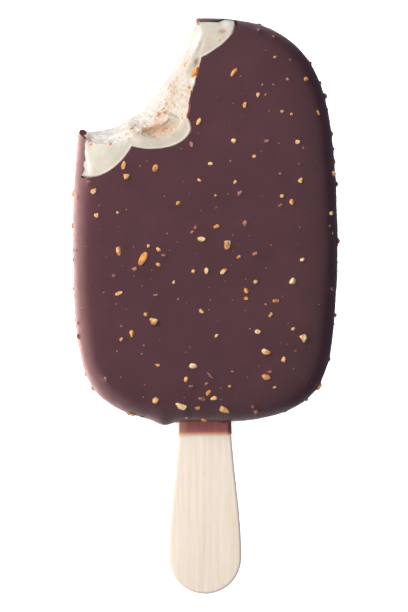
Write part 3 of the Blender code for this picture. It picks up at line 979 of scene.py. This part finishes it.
def make_ice_cream(material):
    """The ice cream inside, peeled smooth at the flaked front and torn rough by the teeth."""
    cream = rolled_bar("bitten_ice_cream", CREAM_SKIN, 80, 60, 50, 0.9 * MM, 0.9 * MM)
    cut_with(cream, tooth_cutter("cream_tooth", False))
    apply_modifier(cream, "REMESH", mode="VOXEL", voxel_size=0.6 * MM)
    points = points_of(cream)
    shown = (depth_in_teeth(points) > -1.2 * MM) | (
        (depth_in_scallops(points) > -1.5 * MM) & (points[:, 2] > SCALLOP_FLOOR_Z))
    select_points(cream, shown)
    bpy.ops.mesh.subdivide(number_cuts=2, smoothness=0.0)
    bpy.ops.object.mode_set(mode="OBJECT")
    tear(cream)
    clothe(cream, material)
    bpy.ops.object.shade_smooth()
    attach(cream, BODY)
    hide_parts("ice_cream")
    return cream


def stick_half_width(distance):
    """Half the stick's width at a distance from the handle's tip, outside its two round ends."""
    start = HANDLE_WIDTH / 2
    share = min(1.0, max(0.0, (distance - start) / (TAPER_END - start)))
    ease = (1 - math.cos(math.pi * share)) / 2
    return (HANDLE_WIDTH + (SHANK_WIDTH - HANDLE_WIDTH) * ease) / 2


def stick_outline():
    """The stick's outline, anticlockwise from the handle's left side."""
    handle, shank = HANDLE_WIDTH / 2, SHANK_WIDTH / 2
    arc_steps, taper_steps = 40, 36
    handle_y = stick_low.y + handle
    shank_y = stick_high.y - shank
    points = []
    for i in range(arc_steps + 1):
        angle = math.pi * (1 + i / arc_steps)
        points.append((handle * math.cos(angle), handle_y + handle * math.sin(angle)))
    right = []
    for i in range(1, taper_steps + 1):
        distance = handle + (TAPER_END - handle) * i / taper_steps
        right.append((stick_half_width(distance), stick_low.y + distance))
    points += right
    for i in range(arc_steps + 1):
        angle = math.pi * i / arc_steps
        points.append((shank * math.cos(angle), shank_y + shank * math.sin(angle)))
    return points + [(-x, y) for x, y in reversed(right)]


def stick_form(name, grow, longer=0.0):
    """The stick as a slab with rounded edges, grown all round, its handle end moved out by longer."""
    outline = stick_outline()
    deselect_all()
    bpy.ops.mesh.primitive_circle_add(vertices=len(outline), radius=1, fill_type="NGON")
    stick = named(name)
    points = np.array([(x, y, STICK_MIDDLE_Z - STICK_HALF - grow) for x, y in outline])
    middle_y = (stick_low.y + stick_high.y) / 2
    points[:, 0] *= (SHANK_WIDTH / 2 + grow) / (SHANK_WIDTH / 2)
    points[:, 1] = np.where(points[:, 1] < middle_y, points[:, 1] - longer - grow, points[:, 1] + grow)
    set_points(stick, points)
    bpy.ops.object.mode_set(mode="EDIT")
    bpy.ops.mesh.select_all(action="SELECT")
    bpy.ops.mesh.extrude_region_move(
        TRANSFORM_OT_translate={"value": (0, 0, 2 * STICK_HALF + 2 * grow)})
    bpy.ops.mesh.select_all(action="SELECT")
    bpy.ops.mesh.normals_make_consistent(inside=False)
    bpy.ops.object.mode_set(mode="OBJECT")
    apply_modifier(stick, "BEVEL", width=STICK_ROUNDING, segments=5, limit_method="ANGLE",
                   angle_limit=math.radians(60))
    return stick


def make_stick(material):
    stick = stick_form("paddle_stick", 0.0)
    stick.data.materials.append(material)
    bpy.ops.object.shade_smooth_by_angle(angle=math.radians(40))
    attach(stick, BODY)
    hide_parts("stick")
    return stick


def make_film(material):
    """The chocolate that ran a little way down the stick, out of the coating's foot."""
    around = 96
    rows = 16
    film, column, row = flat_sheet("chocolate_film", around, rows)
    turn = 2 * math.pi * column / around
    # The stick's section is a flat superellipse, near enough to its rounded slab.
    across = np.sign(np.cos(turn)) * np.abs(np.cos(turn)) ** 0.16
    up = np.sign(np.sin(turn)) * np.abs(np.sin(turn)) ** 0.55
    # Down the outside from within the coating, round the lower edge, and back up inside the wood.
    outside = rows - 4
    share = np.minimum(row, outside) / outside
    inner = np.clip((row - outside) / 2, 0.0, 1.0)
    edge_y = bar_low.y - FILM_LENGTH + 0.3 * MM * np.sin(turn + 2.2) + 0.12 * MM * np.sin(turn * 5)
    top_y = bar_low.y + 2.0 * MM
    y = top_y + (edge_y - top_y) * share
    y = np.where(row > rows - 2, top_y, y)
    grow = FILM_THICKNESS * np.where(row >= outside, 1 - 1.6 * inner, 1.0)
    half_width = np.array([stick_half_width(value - stick_low.y) for value in y])
    points = np.column_stack(((half_width + grow) * across, y, STICK_MIDDLE_Z + (STICK_HALF + grow) * up))
    set_points(film, points)
    take_up(film)
    bpy.ops.object.mode_set(mode="EDIT")
    bpy.ops.mesh.select_all(action="SELECT")
    bpy.ops.mesh.remove_doubles(threshold=0.001 * MM)
    bpy.ops.mesh.select_mode(type="EDGE")
    bpy.ops.mesh.select_all(action="DESELECT")
    bpy.ops.mesh.select_non_manifold()
    bpy.ops.mesh.bridge_edge_loops()
    bpy.ops.mesh.select_all(action="SELECT")
    bpy.ops.mesh.normals_make_consistent(inside=False)
    bpy.ops.object.mode_set(mode="OBJECT")
    points = points_of(film)
    lower = smooth_step(-points[:, 1], -(bar_low.y - 0.7 * FILM_LENGTH), -(bar_low.y - 1.05 * FILM_LENGTH))
    left = smooth_step(-points[:, 0], 3.6 * MM, 5.4 * MM)
    # The thin lower edge is real; the paler left edge is painted light and the darker right edge painted
    # shade.
    mark_points(film, {
        "thin": np.maximum(lower, 0.45 * left),
        "right_edge_shade": 0.8 * smooth_step(points[:, 0], 5.0 * MM, 5.6 * MM) * (1 - lower),
    })
    film.data.materials.append(material)
    bpy.ops.object.shade_smooth_by_angle(angle=math.radians(60))
    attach(film, BODY)
    return film


def chopped_shapes(count, detail, rng):
    """Differently broken almond pieces, one unit across, to be copied."""
    shapes = []
    for i in range(count):
        deselect_all()
        bpy.ops.mesh.primitive_ico_sphere_add(subdivisions=detail, radius=0.5)
        shape = named(f"chopped_{detail}_{i}")
        bpy.ops.object.mode_set(mode="EDIT")
        for _ in range(5):
            way = Vector(rng.normal(size=3)).normalized()
            bpy.ops.mesh.select_all(action="SELECT")
            bpy.ops.mesh.bisect(plane_co=way * rng.uniform(0.28, 0.4), plane_no=way, use_fill=True,
                                clear_outer=True)
        bpy.ops.mesh.select_all(action="SELECT")
        bpy.ops.mesh.normals_make_consistent(inside=False)
        bpy.ops.object.mode_set(mode="OBJECT")
        shapes.append(shape)
    return shapes


def almond_piece(name, sites, shapes, material, proud, rng, tones=(0.0, 1.0), wet_and_shade_strength=1.0):
    """One mesh of copies of the chopped shapes, one at each site, standing proud by a share of its height."""
    copies = []
    for i, (place, normal, length, width, turn) in enumerate(sites):
        copy = shapes[i % len(shapes)].copy()
        copy.data = copy.data.copy()
        bpy.context.scene.collection.objects.link(copy)
        height = width * rng.uniform(0.75, 1.0)
        tumble = Matrix.Rotation(rng.uniform(0, 2 * math.pi), 4, "X")
        size = Matrix.Diagonal((length * PIECE_GROWTH[0], width * PIECE_GROWTH[1],
                                height * PIECE_GROWTH[2], 1.0))
        upright = normal.to_track_quat("Z", "Y").to_matrix().to_4x4()
        # On the front the turn is measured from +X, whatever way the normal's frame points.
        heading = upright.to_3x3().inverted() @ Vector((math.cos(turn), math.sin(turn), 0.0))
        spin = Matrix.Rotation(math.atan2(heading.y, heading.x), 4, "Z")
        move = Matrix.Translation(place + normal * (proud - 0.5) * height)
        copy.data.transform(move @ upright @ spin @ size @ tumble)
        points = points_of(copy)
        points[:, 2] = np.maximum(points[:, 2], bar_low.z)
        set_points(copy, points)
        # The chocolate wets each piece a little way up; higher up its lower right side, away from the key
        # light, the same brown is painted shade.
        out = points - np.array(place)
        upstream = (out[:, 1] - out[:, 0]) / length * max(normal.z, 0.0)
        wet_and_shaded = wet_and_shade_strength * (1 - smooth_step(out @ np.array(normal) / height + 0.35 * upstream, 0.02, 0.3))
        mark_points(copy, {"tone": np.full(len(points), rng.uniform(*tones)), "wet_and_shaded": wet_and_shaded})
        copies.append(copy)
    deselect_all()
    for copy in copies:
        copy.select_set(True)
    bpy.context.view_layer.objects.active = copies[0]
    bpy.ops.object.join()
    piece = named(name)
    piece.data.materials.clear()
    piece.data.materials.append(material)
    bpy.ops.object.shade_smooth_by_angle(angle=math.radians(30))
    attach(piece, BODY)
    return piece


# ---- Studio ----

SURROUND_ABOVE = (0.55, 0.55, 0.56)
SURROUND_FRONT = (0.60, 0.57, 0.62)
SURROUND_RIGHT = (0.09, 0.11, 0.17)
SURROUND_LEFT = (0.95, 0.92, 0.92)
SHINE_LEFT = (4.1, 2.7, 2.5)  # what the chocolate's left edge mirrors
KEY_WATTS = 0.98
TABLE_WATTS = 60.0


def make_floor():
    """White card under everything."""
    deselect_all()
    bpy.ops.mesh.primitive_plane_add(size=3.0, location=(0, 0, bar_low.z - 0.02 * MM))
    floor = named("floor")
    bpy.ops.object.transform_apply(location=True)
    floor.data.materials.append(backdrop_material())
    # The sides of the bar are lit by the surround alone, which is darker at the right than a white table is.
    floor.visible_diffuse = False
    floor.visible_glossy = False
    return floor


def add_softbox(name, place, aim, width, height, watts):
    light = bpy.data.lights.new(name, "AREA")
    light.shape = "RECTANGLE"
    light.size = width
    light.size_y = height
    light.energy = watts
    lamp = bpy.data.objects.new(name, light)
    lamp.location = place
    lamp.rotation_euler = (Vector(aim) - Vector(place)).to_track_quat("-Z", "Y").to_euler()
    bpy.context.scene.collection.objects.link(lamp)
    return lamp


def light_only(lamp, pieces):
    """Makes a lamp light these pieces alone."""
    lit = bpy.data.collections.new(lamp.name + "_lit")
    for piece in pieces:
        lit.objects.link(piece)
    lamp.light_linking.receiver_collection = lit


def make_surround():
    """Even light from above, over a low surround that is bright at the left and dark at the right."""
    world = bpy.data.worlds.new("surround")
    world.use_nodes = True
    tree = world.node_tree
    way = add_node(tree, "ShaderNodeTexCoord").outputs["Generated"]
    level = add_node(tree, "ShaderNodeVectorMath", {0: way, 1: (1.0, 1.0, 0.0)}, operation="MULTIPLY")
    length = add_node(tree, "ShaderNodeVectorMath", {0: level.outputs[0]}, operation="LENGTH")
    reach = add_node(tree, "ShaderNodeMath", {0: length.outputs["Value"], 1: 0.15}, operation="ADD")
    parts = add_node(tree, "ShaderNodeSeparateXYZ", {0: way})
    sideways = add_node(tree, "ShaderNodeMath", {0: parts.outputs["X"], 1: reach.outputs[0]},
                        operation="DIVIDE")
    right = add_node(tree, "ShaderNodeMapRange", {"Value": sideways.outputs[0], "From Min": 0.1,
                                                  "From Max": 0.6, "To Min": 0.0, "To Max": 1.0})
    left = add_node(tree, "ShaderNodeMapRange", {"Value": sideways.outputs[0], "From Min": -0.1,
                                                 "From Max": -0.8, "To Min": 0.0, "To Max": 1.0})
    above = add_node(tree, "ShaderNodeMapRange", {"Value": parts.outputs["Z"], "From Min": 0.05,
                                                  "From Max": 0.5, "To Min": 0.0, "To Max": 1.0})
    mirrored = add_node(tree, "ShaderNodeLightPath").outputs["Is Glossy Ray"]
    left_colour = add_node(tree, "ShaderNodeMix", {0: mirrored, 6: (*SURROUND_LEFT, 1.0),
                                                   7: (*SHINE_LEFT, 1.0)}, data_type="RGBA")
    front_right = add_node(tree, "ShaderNodeMix", {0: right.outputs["Result"], 6: (*SURROUND_FRONT, 1.0),
                                                   7: (*SURROUND_RIGHT, 1.0)}, data_type="RGBA")
    low = add_node(tree, "ShaderNodeMix", {0: left.outputs["Result"], 6: front_right.outputs[2],
                                           7: left_colour.outputs[2]}, data_type="RGBA")
    whole = add_node(tree, "ShaderNodeMix", {0: above.outputs["Result"], 6: low.outputs[2],
                                             7: (*SURROUND_ABOVE, 1.0)}, data_type="RGBA")
    tree.links.new(whole.outputs[2], tree.nodes["Background"].inputs["Color"])
    bpy.context.scene.world = world


def make_studio(floor, pieces):
    """Soft light from the upper left, a lamp of the floor's own, and a camera that looks straight down."""
    make_surround()
    light_only(add_softbox("table_lamp", (0.0, 0.0, 1.5), (0, 0, 0), 1.0, 1.0, TABLE_WATTS), [floor])
    key = add_softbox("key", (-0.21, 0.13, 0.27), (0, 0.02, 0.01), 0.09, 0.09, KEY_WATTS)
    key.visible_glossy = False
    light_only(key, pieces)
    camera_data = bpy.data.cameras.new("camera")
    camera_data.lens = 227.1
    camera_data.sensor_width = 36.0
    camera = bpy.data.objects.new("camera", camera_data)
    camera.location = (-0.27 * MM, 0.03 * MM, MIDDLE_Z + 0.9)
    bpy.context.scene.collection.objects.link(camera)
    bpy.context.scene.camera = camera
    bpy.context.scene.view_settings.view_transform = "Standard"


# ---- Making ----

chocolate = chocolate_material("dipped_milk_chocolate", linear("#4c2b31"), 0.34, 0.5, 0.10)
broken = chocolate_material("broken_milk_chocolate", linear("#6e2a20"), 0.6, 0.12, 0.0)

skin = rolled_bar("coating", 0.0, DOME_COLUMNS, FOOT_COLUMNS, 98, 1.2 * MM, 0.45 * MM)
rng = np.random.default_rng(11)
face_rises = np.array([face.normal.z for face in skin.data.polygons])
on_front = np.nonzero(face_rises > 0.9)[0]
on_side = np.nonzero(np.abs(face_rises) <= 0.9)[0]
on_back = np.nonzero(face_rises < -0.9)[0]
bare = front_sites(skin, BARE_ALMONDS)
glazed = front_sites(skin, GLAZED_ALMONDS)
taken = bare + glazed
bare_round = scattered_sites(skin, 26, (0.9 * MM, 2.0 * MM), 4 * MM, taken, rng, on_side)
bare_round += scattered_sites(skin, 60, (0.8 * MM, 2.6 * MM), 3.5 * MM, taken, rng, on_back)
taken = taken + bare_round
glazed_round = scattered_sites(skin, 60, (0.7 * MM, 1.4 * MM), 3 * MM, taken, rng, on_side)
glazed_round = [site for i, site in enumerate(glazed_round) if site[1].x > -0.4 or i % 3 == 0]
glazed_round += scattered_sites(skin, 24, (0.8 * MM, 1.6 * MM), 3.5 * MM, taken, rng, on_back)
taken = taken + glazed_round
crumbs = scattered_sites(skin, 110, (0.3 * MM, 0.75 * MM), 1.5 * MM, taken, rng, on_front)
crumbs += scattered_sites(skin, 90, (0.3 * MM, 0.75 * MM), 1.5 * MM, taken, rng, on_side)
crumbs += scattered_sites(skin, 80, (0.3 * MM, 0.75 * MM), 1.5 * MM, taken, rng, on_back)

raise_mounds(skin, bare + bare_round, 0.14, 0.35 * MM)
raise_mounds(skin, glazed + glazed_round, 0.3, 0.4 * MM)
run_off(skin)
cream = make_ice_cream(ice_cream_material())
pieces = [
    make_coating(skin, chocolate, broken),
    cream,
    make_stick(birch_material()),
    make_film(film_material()),
]

large_shapes = chopped_shapes(6, 2, rng)
small_shapes = chopped_shapes(5, 1, rng)
almond = almond_material()
glaze = glazed_almond_material()
pieces.append(almond_piece("bare_almonds", bare + bare_round, large_shapes, almond, 0.62, rng))
pieces.append(almond_piece("glazed_almonds", glazed + glazed_round, large_shapes, glaze, 0.6, rng))
pieces.append(almond_piece("almond_crumbs", crumbs, small_shapes, crumb_material(), 0.5, rng))
pieces.append(almond_piece("torn_almonds", front_sites(cream, TORN_ALMONDS), small_shapes, almond, 0.45, rng,
                           tones=(0.8, 1.0), wet_and_shade_strength=0.1))
for shape in large_shapes + small_shapes:
    bpy.data.objects.remove(shape)

make_studio(make_floor(), pieces)
